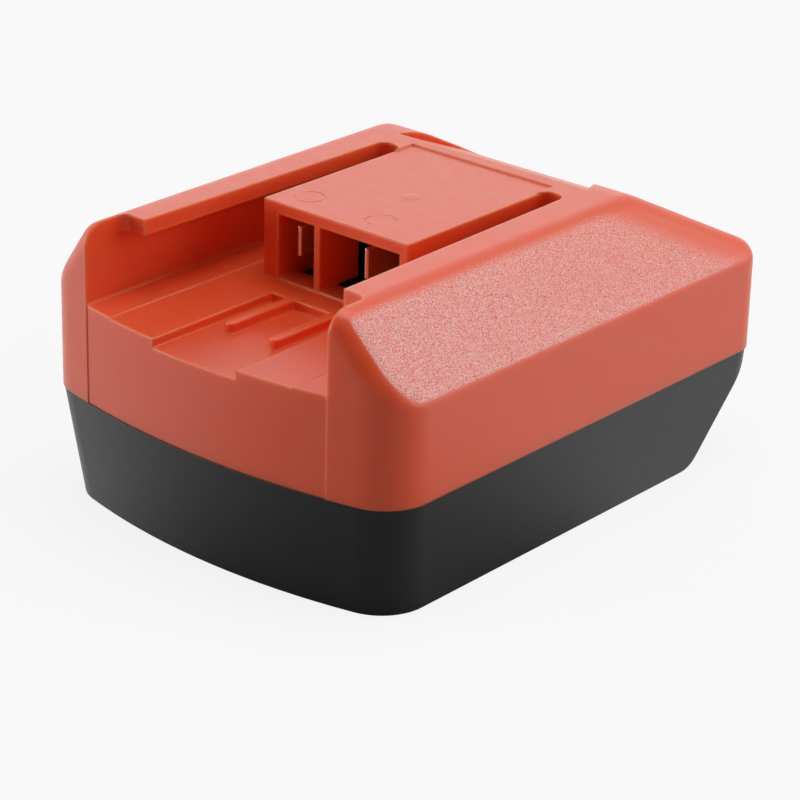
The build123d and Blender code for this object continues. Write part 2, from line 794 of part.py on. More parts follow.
def tool_blade_outline(margin):
    """The tool blade seen from the side, with its tail through the carrier."""
    return [
        (tool_blade_front, tool_blade_top_z - tool_blade_height - margin),
        (tool_blade_front, tool_blade_top_z + margin),
        (tool_blade_rear + margin, tool_blade_top_z + margin),
        (tool_blade_rear + margin, tool_tail_end_z),
        (tool_tail_front - margin, tool_tail_end_z),
        (tool_tail_front - margin, tool_blade_top_z - tool_blade_height - margin),
    ]


def tool_blade(x):
    """A flat blade with an eased front end."""
    half = tool_blade_thickness / 2
    with BuildPart() as blade:
        add(side_prism(tool_blade_outline(0), x - half, x + half))
        front_face = blade.faces().sort_by(Axis.Y)[0]
        chamfer(front_face.edges().filter_by(Axis.Z), length=blade_nose)
    return blade.part


for name, x in zip(("tool_blade_left", "tool_blade_right"), tool_blade_x):
    keep(name, tool_blade(x))

# Carrier: a plug in the bay's floor with a flange under it and a tower round each blade
with BuildPart() as blade_carrier:
    carrier_top = floor_under_z + carrier_floor
    add(slab(opening_left + carrier_gap, opening_right - carrier_gap, sill_rear + carrier_gap,
             block_bay_rear - carrier_gap, floor_under_z, carrier_top))
    flange_front = sill_rear - carrier_flange_overlap
    flange_z = floor_under_z - carrier_flange
    add(slab(opening_left - carrier_flange_overlap, opening_right + carrier_flange_overlap,
             flange_front, carrier_flange_rear, flange_z, floor_under_z))
    tower_rear = block_bay_rear - carrier_gap - carrier_floor
    for x in tool_blade_x:
        add(slab(x - tower_half_width, x + tower_half_width, tower_rear - tower_length, tower_rear,
                 carrier_top, opening_top_z - carrier_gap))
    slot_half = tool_blade_thickness / 2 + blade_fit
    for x in tool_blade_x:
        add(side_prism(tool_blade_outline(blade_fit), x - slot_half, x + slot_half), mode=Mode.SUBTRACT)
    for x, distance in carrier_screw_places:
        add(post(x, distance, small_screw_radius + screw_gap, flange_z, floor_under_z), mode=Mode.SUBTRACT)
keep("blade_carrier", blade_carrier.part)


def pack_blade_outline(reach, margin):
    """A pack blade seen from the side, with its tail up through the housing's window."""
    tail_front = window_middle - pack_tail_width / 2
    tail_rear = window_middle + pack_tail_width / 2
    blade_top = pack_blade_base + pack_blade_height
    return [
        (tail_front - margin, pack_blade_base - margin),
        (pack_block_rear + reach, pack_blade_base - margin),
        (pack_block_rear + reach, blade_top + margin),
        (tail_rear + margin, blade_top + margin),
        (tail_rear + margin, pack_tail_top),
        (tail_front - margin, pack_tail_top),
    ]


def pack_blade(x, reach):
    """A flat blade with an eased rear end, where the pack's contact slides on."""
    half = pack_blade_thickness / 2
    with BuildPart() as blade:
        add(side_prism(pack_blade_outline(reach, 0), x - half, x + half))
        end_face = blade.faces().sort_by(Axis.Y)[-1]
        chamfer(end_face.edges().filter_by(Axis.Z), length=blade_nose)
    return blade.part


pack_blades = {
    "pack_blade_negative": (-pack_blade_x, pack_blade_reach),
    "pack_blade_positive": (pack_blade_x, pack_blade_reach),
    "pack_blade_sense": (0, sense_blade_reach),
}
for name, (x, reach) in pack_blades.items():
    keep(name, pack_blade(x, reach))

# Block that holds the pack blades under the cavity's ceiling, with two ears for its screws
with BuildPart() as pack_terminal_block:
    add(slab(-pack_block_half_width, pack_block_half_width, pack_block_front, pack_block_rear,
             cavity_height - pack_block_drop, cavity_height))
    ear_half = pack_block_half_width + pack_ear_reach
    ear_z = cavity_height - pack_ear_thickness
    add(slab(-ear_half, ear_half, window_middle - pack_ear_length / 2,
             window_middle + pack_ear_length / 2, ear_z, cavity_height))
    spigot_half = window_half_width - pack_spigot_margin
    add(slab(-spigot_half, spigot_half, window_front + running_gap,
             window_front + window_length - running_gap, cavity_height, cavity_height + pack_spigot_rise))
    slot_half = pack_blade_thickness / 2 + blade_fit
    for x, reach in pack_blades.values():
        add(side_prism(pack_blade_outline(reach, blade_fit), x - slot_half, x + slot_half),
            mode=Mode.SUBTRACT)
    for x, distance in pack_screw_places:
        add(post(x, distance, small_screw_radius + screw_gap, ear_z, cavity_height), mode=Mode.SUBTRACT)
keep("pack_terminal_block", pack_terminal_block.part)

# Circuit board and what is soldered to it
with BuildPart() as circuit_board:
    with BuildSketch(Plane.XY.offset(board_z)):
        with Locations((0, at(board_front + board_length / 2))):
            RectangleRounded(2 * board_half_width, board_length, board_corner_radius)
        for x, distance in board_screw_places:
            with Locations((x, at(distance))):
                Circle(small_screw_radius + screw_gap, mode=Mode.SUBTRACT)
    extrude(amount=board_thickness)
keep("circuit_board", circuit_board.part)


def on_board(place, size):
    """A block of the given size that stands on the board at a place."""
    x, distance = place
    across, along, tall = size
    middle = board_front + distance
    return slab(x - across / 2, x + across / 2, middle - along / 2, middle + along / 2,
                board_top_z, board_top_z + tall)


with BuildPart() as board_capacitor:
    can_x = board_half_width - capacitor_inset
    can_distance = board_front + capacitor_from_board_front
    can_top = board_top_z + capacitor_height
    add(post(can_x, can_distance, capacitor_radius, board_top_z, can_top))
    groove_z = board_top_z + 2 * capacitor_groove
    with BuildSketch(Plane.XY.offset(groove_z)):
        with Locations((can_x, at(can_distance))):
            Circle(capacitor_radius)
            Circle(capacitor_radius - capacitor_groove, mode=Mode.SUBTRACT)
    extrude(amount=capacitor_groove, mode=Mode.SUBTRACT)
    with BuildSketch(Plane.XY.offset(can_top)):
        with Locations((can_x, at(can_distance))):
            Rectangle(2 * capacitor_radius - 2 * capacitor_groove, capacitor_groove)
            Rectangle(capacitor_groove, 2 * capacitor_radius - 2 * capacitor_groove)
    extrude(amount=-capacitor_vent_depth, mode=Mode.SUBTRACT)
keep("board_capacitor", board_capacitor.part)

with BuildPart() as board_fuse:
    add(on_board(fuse_place, fuse_size))
    fuse_x, fuse_distance = fuse_place
    fuse_length, fuse_width, fuse_height = fuse_size
    for side in (-1, 1):
        cap_x = fuse_x + side * (fuse_length - fuse_cap_length) / 2
        cap_size = (fuse_cap_length, fuse_width + capacitor_groove, fuse_height + capacitor_groove)
        add(on_board((cap_x, fuse_distance), cap_size))
keep("board_fuse", board_fuse.part)

with BuildPart() as board_transistor:
    add(on_board(transistor_place, transistor_size))
    body_x, body_distance = transistor_place
    body_width, body_length, body_height = transistor_size
    leg_distance = body_distance - body_length / 2 - transistor_leg_length / 2
    for side in (-1, 0, 1):
        leg_x = body_x + side * (body_width / 2 - transistor_leg_width)
        leg_size = (transistor_leg_width, transistor_leg_length, transistor_leg_thickness)
        add(on_board((leg_x, leg_distance), leg_size))
keep("board_transistor", board_transistor.part)

with BuildPart() as board_resistors:
    across_count, along_count = chip_count
    across_pitch, along_pitch = chip_pitch
    chip_x = chip_inset - board_half_width
    for column in range(across_count):
        for row in range(along_count):
            place = (chip_x + column * across_pitch, chip_from_board_front + row * along_pitch)
            add(on_board(place, chip_size))
keep("board_resistors", board_resistors.part)


def lead(name, route, radius):
    """An insulated lead: straight runs joined by arcs as large as the runs allow."""
    corners = [Vector(x, at(distance), height) for x, distance, height in route]
    radii = []
    for before, corner, after in zip(corners, corners[1:], corners[2:]):
        turn = radians((corner - before).get_angle(after - corner))
        shorter = min((corner - before).length, (after - corner).length)
        radii.append(lead_arc_share * shorter / tan(turn / 2))
    with BuildPart() as tube:
        with BuildLine() as path:
            FilletPolyline(*corners, radius=radii)
        middle = path.wire()
        with BuildSketch(Plane(origin=middle @ 0, z_dir=middle % 0)):
            Circle(radius)
        sweep()
    print(f"{name}: length {middle.length:.1f}, radii {[round(value, 1) for value in radii]},",
          f"volume {tube.part.volume:.1f}, section x length {pi * radius ** 2 * middle.length:.1f}")
    keep(name, tube.part)


lead("lead_pack_positive", [
    (pack_blade_x, window_middle, pack_tail_top),
    (pack_blade_x, window_middle, lead_height),
    (10.5, 38.5, lead_height),
    (10.5, 38.5, board_top_z),
], power_lead_radius)
lead("lead_tool_positive", [
    (12.6, tool_tail_middle, board_top_z),
    (12.6, tool_tail_middle, lead_height),
    (tool_blade_right_x + tool_blade_thickness / 2, tool_tail_middle, lead_height),
], power_lead_radius)
lead("lead_negative", [
    (-pack_blade_x, window_middle, pack_tail_top),
    (-pack_blade_x, window_middle, lead_height),
    (-15.5, 36.0, lead_height),
    (-15.2, tool_tail_middle, lead_height),
    (tool_blade_left_x - tool_blade_thickness / 2, tool_tail_middle, lead_height),
], power_lead_radius)
lead("lead_sense", [
    (0, window_middle, pack_tail_top),
    (0, window_middle, 27.5),
    (-1.2, 37.5, 27.5),
    (-1.2, 37.5, board_top_z),
], sense_lead_radius)

# Screws, one node for each size and place
with BuildPart() as housing_screws:
    for x, distance in housing_screw_places:
        add(screw(x, distance, housing_screw_recess, housing_screw_length, housing_screw_radius,
                  housing_screw_head_radius, housing_screw_head_height, 1))
keep("housing_screws", housing_screws.part)


def small_screws(places, bearing_z, way):
    """A set of the small screws, all at one height and pointing the same way."""
    with BuildPart() as group:
        for x, distance in places:
            add(screw(x, distance, bearing_z, small_screw_length, small_screw_radius,
                      small_screw_head_radius, small_screw_head_height, way))
    return group.part


keep("carrier_screws", small_screws(carrier_screw_places, flange_z, 1))
keep("terminal_block_screws", small_screws(pack_screw_places, ear_z, 1))
keep("board_screws", small_screws(board_screw_places, board_top_z, -1))
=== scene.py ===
# %% [markdown]
# This is a slide-on battery adapter for a power tool, seen from its front right corner: an orange upper
# housing, a dark lower one, and the metal blades that meet the tool's contacts. Its solids come in as a
# finished frame at their real size, so nothing is modelled twice. This lesson gives them their finishes,
# adds the marks that moulding leaves, gives each spring a copy that rides on the housing, sets up a small
# photo studio and places the camera. The frame is loaded first, because every later size is read from it.

# %% Load the frame
import json
from math import cos, radians, sin

import bpy
from mathutils import Matrix, Vector


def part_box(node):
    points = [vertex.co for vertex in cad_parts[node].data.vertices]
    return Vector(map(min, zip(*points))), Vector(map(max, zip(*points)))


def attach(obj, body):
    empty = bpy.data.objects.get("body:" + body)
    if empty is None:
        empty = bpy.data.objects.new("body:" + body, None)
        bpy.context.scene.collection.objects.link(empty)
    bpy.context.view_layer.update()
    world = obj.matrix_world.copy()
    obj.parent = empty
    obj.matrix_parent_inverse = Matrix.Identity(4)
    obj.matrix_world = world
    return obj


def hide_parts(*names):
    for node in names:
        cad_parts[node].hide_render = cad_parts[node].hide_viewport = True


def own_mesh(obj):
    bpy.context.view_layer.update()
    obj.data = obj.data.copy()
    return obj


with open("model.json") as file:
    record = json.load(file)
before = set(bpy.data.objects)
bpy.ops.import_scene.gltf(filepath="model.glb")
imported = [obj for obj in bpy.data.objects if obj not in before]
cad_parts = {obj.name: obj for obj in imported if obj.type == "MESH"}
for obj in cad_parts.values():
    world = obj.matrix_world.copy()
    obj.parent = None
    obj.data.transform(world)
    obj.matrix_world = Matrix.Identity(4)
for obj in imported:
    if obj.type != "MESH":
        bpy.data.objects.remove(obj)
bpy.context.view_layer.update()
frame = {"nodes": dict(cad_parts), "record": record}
nodes = frame["nodes"]
record = frame["record"]
MM = 0.001


# %% [markdown]
# The camera decides every proportion in the picture. It could be placed by eye, but then each edge would
# run a little wrong. Its numbers were worked out from the straight edges of the housing instead: a long
# lens half a metre away, 41 degrees to the right of the front and looking down by 23. The lens axis isn't
# in the middle of the photograph, so a small shift of the lens moves the picture without turning it.

# %% Camera
CAMERA_AZIMUTH = radians(40.64)
CAMERA_ELEVATION = radians(23.06)
CAMERA_ROLL = radians(1.39)
CAMERA_TARGET = Vector((-2.58, -0.24, 19.75)) * MM
CAMERA_DISTANCE = 504.25 * MM
SENSOR_WIDTH = 36
FOCAL_PIXELS = 2955.21
IMAGE_PIXELS = 800
AXIS_PIXEL = (389.48, 359.97)


def look_along(azimuth, elevation, roll):
    """The camera's right, up and backward directions."""
    back = Vector((sin(azimuth) * cos(elevation), -cos(azimuth) * cos(elevation), sin(elevation)))
    level = Vector((cos(azimuth), sin(azimuth), 0))
    upright = back.cross(level)
    right = cos(roll) * level + sin(roll) * upright
    up = cos(roll) * upright - sin(roll) * level
    return right, up, back


def add_camera():
    """The photograph's camera."""
    data = bpy.data.cameras.new("photo_camera")
    data.sensor_width = SENSOR_WIDTH
    data.lens = FOCAL_PIXELS / IMAGE_PIXELS * SENSOR_WIDTH
    data.shift_x = (IMAGE_PIXELS / 2 - AXIS_PIXEL[0]) / IMAGE_PIXELS
    data.shift_y = (AXIS_PIXEL[1] - IMAGE_PIXELS / 2) / IMAGE_PIXELS
    right, up, back = look_along(CAMERA_AZIMUTH, CAMERA_ELEVATION, CAMERA_ROLL)
    place = CAMERA_TARGET + back * CAMERA_DISTANCE
    turn = Matrix((right, up, back)).transposed()
    camera = bpy.data.objects.new("photo_camera", data)
    camera.matrix_world = Matrix.Translation(place) @ turn.to_4x4()
    bpy.context.scene.collection.objects.link(camera)
    bpy.context.scene.camera = camera
    return camera


camera = add_camera()
print("camera at", [round(value, 3) for value in camera.location], "lens", round(camera.data.lens, 1))

# %% [markdown]
# A finish in Blender is a tree of nodes that ends in a shader. Each could be put together by hand in the
# shader editor. In a script they are easier to read when the steps that all of them need have short
# names, so those come first. A number that is the same all over a surface is set straight on the
# Principled shader's own socket, and only what varies from place to place gets a node.

# %% Start a finish


def new_finish(name, **sockets):
    """A material with one Principled shader; sockets are set by name, with _ for a space."""
    material = bpy.data.materials.new(name)
    material.use_nodes = True
    tree = material.node_tree
    shader = tree.nodes["Principled BSDF"]
    for socket, value in sockets.items():
        shader.inputs[socket.replace("_", " ")].default_value = value
    return material, tree, shader


def object_place(tree):
    """Where a point lies on the object, in metres."""
    return tree.nodes.new("ShaderNodeTexCoord").outputs["Object"]


print("helpers:", new_finish.__name__, object_place.__name__)

# %% [markdown]
# Masks and shares are plain arithmetic on the place and the direction of each point. Drawing them as
# pictures would need unwrapped faces and would blur close up, while a sum stays sharp at any distance. The
# Math and Vector Math nodes each do one step, so a helper for each keeps a long sum on few lines.

# %% Arithmetic


def calculate(tree, operation, *values):
    """One arithmetic step; each value is an output socket or a number."""
    node = tree.nodes.new("ShaderNodeMath")
    node.operation = operation
    for index, value in enumerate(values):
        if isinstance(value, (int, float)):
            node.inputs[index].default_value = value
        else:
            tree.links.new(value, node.inputs[index])
    return node.outputs["Value"]


def product(tree, first, *others):
    """Several values multiplied together."""
    for other in others:
        first = calculate(tree, "MULTIPLY", first, other)
    return first


def vector_step(tree, operation, first, second=None):
    """One step with directions or places; the second is an output socket or a fixed vector."""
    node = tree.nodes.new("ShaderNodeVectorMath")
    node.operation = operation
    tree.links.new(first, node.inputs[0])
    if isinstance(second, Vector):
        node.inputs[1].default_value = second
    elif second is not None:
        tree.links.new(second, node.inputs[1])
    return node.outputs["Value" if operation == "DOT_PRODUCT" else "Vector"]


def split_place(tree, place):
    """A place's three coordinates."""
    node = tree.nodes.new("ShaderNodeSeparateXYZ")
    tree.links.new(place, node.inputs["Vector"])
    return node.outputs["X"], node.outputs["Y"], node.outputs["Z"]


print("helpers:", calculate.__name__, product.__name__, vector_step.__name__, split_place.__name__)

# %% [markdown]
# No real surface is even. A noise texture gives soft blotches of a chosen size, and because it is worked
# out in three dimensions it runs round corners without a seam. Its values crowd around the middle, so a
# smooth step stretches them over the range that is wanted, such as a little more or less roughness.

# %% Blotches and steps
MOST_OF_NOISE = (0.30, 0.70)


def noise(tree, place, size, detail=2.0):
    """A noise texture whose blotches are about this size, in metres."""
    texture = tree.nodes.new("ShaderNodeTexNoise")
    texture.inputs["Scale"].default_value = 1 / size
    texture.inputs["Detail"].default_value = detail
    tree.links.new(place, texture.inputs["Vector"])
    return texture.outputs["Fac"]


def spread(tree, value, low, high, to_low, to_high):
    """Maps a value from one range to another, smoothly and within its ends."""
    step = tree.nodes.new("ShaderNodeMapRange")
    step.interpolation_type = "SMOOTHSTEP"
    tree.links.new(value, step.inputs["Value"])
    for socket, number in (("From Min", low), ("From Max", high), ("To Min", to_low), ("To Max", to_high)):
        step.inputs[socket].default_value = number
    return step.outputs["Result"]


def wander(tree, blotches, low, high):
    """A noise stretched so that it runs from a low to a high value."""
    return spread(tree, blotches, *MOST_OF_NOISE, low, high)


print("a noise is stretched from", MOST_OF_NOISE)

# %% [markdown]
# Two more steps end every tree. One mixes two colours by a mask. The other turns a height into a bump,
# which tilts the light on the surface and leaves the mesh alone. That is right for marks of a few
# hundredths of a millimetre, which no outline would show.

# %% Colours and bumps
MIX_COLOUR_INPUTS = (6, 7)
MIX_COLOUR_OUTPUT = 2


def mix_colour(tree, factor, first, second):
    """A colour between two; each is a colour or an output socket."""
    node = tree.nodes.new("ShaderNodeMix")
    node.data_type = "RGBA"
    tree.links.new(factor, node.inputs["Factor"])
    for index, value in zip(MIX_COLOUR_INPUTS, (first, second)):
        if isinstance(value, tuple):
            node.inputs[index].default_value = (*value, 1)
        else:
            tree.links.new(value, node.inputs[index])
    return node.outputs[MIX_COLOUR_OUTPUT]


def bump(tree, height, depth, under=None):
    """A bump of this depth in metres from a height between 0 and 1."""
    node = tree.nodes.new("ShaderNodeBump")
    node.inputs["Distance"].default_value = depth
    tree.links.new(height, node.inputs["Height"])
    if under is not None:
        tree.links.new(under, node.inputs["Normal"])
    return node.outputs["Normal"]


print("helpers:", mix_colour.__name__, bump.__name__)

# %% [markdown]
# No moulded edge is sharp: the mould's own corners leave a rounding of a few tenths of a millimetre, which
# draws a thin bright line along every edge under a soft light. Rounding the mesh would cost many faces, so
# the Bevel node bends the surface's direction near an edge, and only the light notices. Where the bent
# direction leaves the true one there is an edge, so their difference also tells where a colour may change,
# as on a sheared metal edge, or where thin plastic gets a painted glow, a paler colour that stands in for
# the light that gets into it.

# %% Soft edges
EDGE_SAMPLES = 6
EDGE_BEND_LOW = 0.002
EDGE_BEND_HIGH = 0.12


def facing(tree):
    """The direction in which the surface really faces."""
    return tree.nodes.new("ShaderNodeNewGeometry").outputs["Normal"]


def soft_normal(tree, radius):
    """The direction it would face if every edge were rounded with this radius."""
    node = tree.nodes.new("ShaderNodeBevel")
    node.samples = EDGE_SAMPLES
    node.inputs["Radius"].default_value = radius
    return node.outputs["Normal"]


def edge_share(tree, softened):
    """0 on the flats and up to 1 on an edge, from how far the softened direction is bent."""
    alike = vector_step(tree, "DOT_PRODUCT", facing(tree), softened)
    bend = calculate(tree, "SUBTRACT", 1.0, alike)
    return spread(tree, bend, EDGE_BEND_LOW, EDGE_BEND_HIGH, 0, 1)


print("an edge's colour starts at a bend of", EDGE_BEND_LOW, "and is full at", EDGE_BEND_HIGH)

# %% [markdown]
# On the two slanted panels the mould is eroded with sparks, which leaves a fine grain that ends where the
# panel begins to round over. A border drawn by hand would have to follow every rounding, so the mask is
# worked out: it is full where the surface faces the way the panel does, and it fades where the surface
# turns away. The dot product of the two directions tells how alike they are: 1 where they agree, and less
# as they part. Taking the direction without its signs makes the mask serve both sides. Two limits of
# place finish it: the grain starts outside the deck, and it fades out before the slope at the rear.

# %% Where the grained panels are
upper_low, upper_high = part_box("upper_housing")
LEAST_SLANT = 0.35
PANEL_TURNED = 0.915
PANEL_FLAT = 0.950
GRAIN_DECK_X = 28.3 * MM
GRAIN_REAR_Y = upper_low.y + 66.6 * MM
REAR_SLOPE_RUN = 1.89
GRAIN_BORDER = 0.8 * MM
GRAIN_REAR_BORDER = 4.0 * MM
GRAIN_REAR_SHARE = 0.75


def panel_direction():
    """Which way the right slanted panel faces: the direction of the largest slanting face."""
    slanting = [
        face for face in nodes["upper_housing"].data.polygons
        if face.normal.x > LEAST_SLANT and face.normal.z > LEAST_SLANT
    ]
    return max(slanting, key=lambda face: face.area).normal.copy()


def panel_mask(tree, place):
    """1 on the grained fields: the flats of the two slanted panels, short of the deck and the rear."""
    unsigned = vector_step(tree, "ABSOLUTE", facing(tree))
    alike = vector_step(tree, "DOT_PRODUCT", unsigned, PANEL_DIRECTION)
    flat = spread(tree, alike, PANEL_TURNED, PANEL_FLAT, 0, 1)
    x, y, z = split_place(tree, place)
    side = calculate(tree, "ABSOLUTE", x)
    beside = spread(tree, side, GRAIN_DECK_X - GRAIN_BORDER, GRAIN_DECK_X + GRAIN_BORDER, 0, 1)
    below_deck = calculate(tree, "SUBTRACT", upper_high.z, z)
    along_slope = calculate(tree, "SUBTRACT", y, product(tree, below_deck, REAR_SLOPE_RUN))
    rear_start = GRAIN_REAR_Y - GRAIN_REAR_BORDER
    rear_end = GRAIN_REAR_Y + GRAIN_REAR_BORDER
    ahead = spread(tree, along_slope, rear_start, rear_end, 1, 0)
    fading = spread(tree, y, upper_low.y, upper_high.y, 1, GRAIN_REAR_SHARE)
    return product(tree, flat, beside, ahead, fading)


PANEL_DIRECTION = panel_direction()
print("the right panel faces", [round(value, 3) for value in PANEL_DIRECTION])

# %% [markdown]
# The mould's ejector pins press two faint rings into the top of the terminal block, and the point where
# the plastic was let in leaves a small disc. They could be cut into the mesh, but they are only a few
# hundredths of a millimetre deep. So each is a step in the bump, worked out from the distance to its
# centre and kept to the block's top by its height. A noise wears the rings away in places.

# %% Marks that moulding leaves
BLOCK_TOP_Z = upper_high.z - 0.3 * MM
MARK_REACH = 0.6 * MM
EJECTOR_RADIUS = 2.45 * MM
EJECTOR_RIM = 0.42 * MM
EJECTOR_Y = upper_low.y + 38.6 * MM
EJECTOR_PLACES = ((-10.6 * MM, EJECTOR_Y), (5.0 * MM, EJECTOR_Y))
RIM_WEAR_SIZE = 1.6 * MM
RIM_WEAR_RANGE = (0.40, 0.55)
FAINTEST_RIM = 0.1
GATE_RADIUS = 1.3 * MM
GATE_BORDER = 0.7 * MM
GATE_PLACE = (1.5 * MM, upper_low.y + 50.1 * MM)


def from_centre(tree, place, centre):
    """How far a place lies from an upright line through this centre."""
    x, y = split_place(tree, place)[:2]
    across = calculate(tree, "SUBTRACT", x, centre[0])
    along = calculate(tree, "SUBTRACT", y, centre[1])
    squares = calculate(tree, "ADD", product(tree, across, across), product(tree, along, along))
    return calculate(tree, "SQRT", squares)


def ejector_rims(tree, place):
    """1 on the rings that the ejector pins leave, at any height."""
    rims = []
    for centre in EJECTOR_PLACES:
        off_rim = calculate(tree, "SUBTRACT", from_centre(tree, place, centre), EJECTOR_RADIUS)
        rims.append(spread(tree, calculate(tree, "ABSOLUTE", off_rim), 0, EJECTOR_RIM, 1, 0))
    worn = spread(tree, noise(tree, place, RIM_WEAR_SIZE), *RIM_WEAR_RANGE, FAINTEST_RIM, 1)
    return product(tree, calculate(tree, "MAXIMUM", *rims), worn)


def moulding_marks(tree, place):
    """Two masks on the block's top alone: the rims of the ejector marks, and the gate's disc."""
    height = split_place(tree, place)[2]
    on_top = calculate(tree, "COMPARE", height, BLOCK_TOP_Z, MARK_REACH)
    to_gate = from_centre(tree, place, GATE_PLACE)
    disc = spread(tree, to_gate, GATE_RADIUS - GATE_BORDER, GATE_RADIUS + GATE_BORDER, 1, 0)
    return product(tree, ejector_rims(tree, place), on_top), product(tree, disc, on_top)


print("ejector marks:", len(EJECTOR_PLACES), "of", round(2 * EJECTOR_RADIUS / MM, 1), "mm across")

# %% [markdown]
# The upper housing and its latch are moulded in an orange plastic that lets a little light in, so its thin
# edges glow. One even orange would look like paint. Here a large, faint cloud shifts the colour, and a
# wide bend around each edge paints that glow in as a paler colour. The rim just above the seam gets no
# painted glow, because the dark housing behind it swallows the light. The ejector rings are painted darker,
# as painted shade in their shallow hollows, and a Voronoi texture scatters a few specks of dust: near the
# middle of each of its cells the distance falls to nothing.

# %% Colour of the orange plastic
ORANGE = (0.92, 0.096, 0.022)
ORANGE_CLOUD = (0.89, 0.106, 0.029)
# painted glow: a paler orange that stands in for light shining through thin edges
ORANGE_PAINTED_GLOW = (1.0, 0.22, 0.050)
# painted shade: a darker orange for the shade in the ejector rings
ORANGE_PAINTED_RING_SHADE = (0.62, 0.060, 0.016)
SPECK_COLOUR = (0.90, 0.26, 0.16)
CLOUD_SIZE = 14 * MM
CLOUD_RANGE = (0.35, 0.65)
PAINTED_GLOW_RADIUS = 1.3 * MM
PAINTED_GLOW_SHARE = 0.8
BACKED_HEIGHT = 1.5 * MM
CLEAR_HEIGHT = 5 * MM
# how strongly the painted shade of the ejector rings shows
RING_SHADE_SHARE = 0.5
SPECK_SPACING = 1.9 * MM
SPECK_SHARE = 0.03


def specks(tree, place):
    """1 on small, widely scattered dots."""
    cells = tree.nodes.new("ShaderNodeTexVoronoi")
    cells.inputs["Scale"].default_value = 1 / SPECK_SPACING
    tree.links.new(place, cells.inputs["Vector"])
    return spread(tree, cells.outputs["Distance"], SPECK_SHARE, 2 * SPECK_SHARE, 1, 0)


# painted glow: how far the edges are mixed towards the paler orange
def painted_edge_glow(tree, place):
    """How much painted glow shows as a paler colour: most on a free edge, none just above the seam."""
    bent = edge_share(tree, soft_normal(tree, PAINTED_GLOW_RADIUS))
    height = split_place(tree, place)[2]
    free = spread(tree, height, upper_low.z + BACKED_HEIGHT, upper_low.z + CLEAR_HEIGHT, 0, PAINTED_GLOW_SHARE)
    return product(tree, bent, free)


def plain_orange(tree, place, rims):
    """The colour outside the grain: clouded, with a painted glow at the edges, painted shade on the ejector
    rims, and a few specks of dust.
    """
    cloud = spread(tree, noise(tree, place, CLOUD_SIZE), *CLOUD_RANGE, 0, 1)
    clouded = mix_colour(tree, cloud, ORANGE, ORANGE_CLOUD)
    # painted glow: the edges are mixed towards a paler orange
    with_painted_glow = mix_colour(tree, painted_edge_glow(tree, place), clouded, ORANGE_PAINTED_GLOW)
    # painted shade in the ejector rings, which are also a real bump
    with_ring_shade = mix_colour(tree, product(tree, rims, RING_SHADE_SHARE), with_painted_glow, ORANGE_PAINTED_RING_SHADE)
    return mix_colour(tree, specks(tree, place), with_ring_shade, SPECK_COLOUR)


print("edges glow over", round(PAINTED_GLOW_RADIUS / MM, 1), "mm")

# %% [markdown]
# The surface itself is satin, and it turns a saturated red in deep corners. A diffuse shader alone would
# look chalky, so part of the light goes in and comes out nearby, red the furthest, as it does in the real
# plastic. The light that bounces between its walls then deepens the red by itself. On the grained panels
# each tiny pit throws light its own way, so the mask brings in a deeper bump, more roughness and a
# speckled colour whose pale pink dots are a painted sheen. Three bumps lie on each other: the skin of the
# mould, the marks and the grain.

# %% Orange plastic
GRAIN_DARK = (0.84, 0.05, 0.035)
# painted sheen: a pale pink that stands in for light thrown back by the grain's pits
GRAIN_PAINTED_SHEEN = (1.0, 0.66, 0.58)
GRAIN_SIZE = 0.19 * MM
GRAIN_DETAIL = 1.0
GRAIN_DEPTH = 0.028 * MM
GRAIN_ROUGHNESS_GAIN = 0.16
LIGHT_INSIDE = 0.6
LIGHT_INSIDE_REACH = 2.5 * MM
LIGHT_INSIDE_COLOURS = (1.0, 0.25, 0.06)
ORANGE_SHINE = 0.72
ORANGE_ROUGHNESS = 0.36
ORANGE_ROUGHNESS_SPREAD = 0.03
SATIN_SIZE = 3 * MM
SKIN_SIZE = 0.25 * MM
SKIN_DEPTH = 0.002 * MM
MARK_DEPTH = 0.12 * MM
ORANGE_EDGE_RADIUS = 0.5 * MM


def orange_surface(tree, place, mask, grain, marks):
    """The direction of the surface: soft edges under the skin, the moulding marks and the grain."""
    softened = soft_normal(tree, ORANGE_EDGE_RADIUS)
    skin = bump(tree, noise(tree, place, SKIN_SIZE), SKIN_DEPTH, under=softened)
    marked = bump(tree, marks, MARK_DEPTH, under=skin)
    return bump(tree, product(tree, grain, mask), GRAIN_DEPTH, under=marked)


def orange_plastic():
    """Satin orange plastic with a fine grain and a painted sheen on the slanted panels, and soft edges with
    a painted glow.
    """
    material, tree, shader = new_finish(
        "orange_plastic_finish",
        Subsurface_Weight=LIGHT_INSIDE,
        Subsurface_Scale=LIGHT_INSIDE_REACH,
        Subsurface_Radius=LIGHT_INSIDE_COLOURS,
        Specular_IOR_Level=ORANGE_SHINE,
    )
    place = object_place(tree)
    mask = panel_mask(tree, place)
    grain = noise(tree, place, GRAIN_SIZE, detail=GRAIN_DETAIL)
    rims, gate = moulding_marks(tree, place)
    # painted sheen: the grain speckles the colour towards pale pink
    speckled_with_painted_sheen = mix_colour(tree, wander(tree, grain, 0, 1), GRAIN_DARK, GRAIN_PAINTED_SHEEN)
    colour = mix_colour(tree, mask, plain_orange(tree, place, rims), speckled_with_painted_sheen)
    tree.links.new(colour, shader.inputs["Base Color"])
    smoothest = ORANGE_ROUGHNESS - ORANGE_ROUGHNESS_SPREAD
    roughest = ORANGE_ROUGHNESS + ORANGE_ROUGHNESS_SPREAD
    satin = wander(tree, noise(tree, place, SATIN_SIZE), smoothest, roughest)
    rougher = product(tree, mask, GRAIN_ROUGHNESS_GAIN)
    tree.links.new(calculate(tree, "ADD", satin, rougher), shader.inputs["Roughness"])
    marks = calculate(tree, "MAXIMUM", rims, gate)
    tree.links.new(orange_surface(tree, place, mask, grain, marks), shader.inputs["Normal"])
    return material


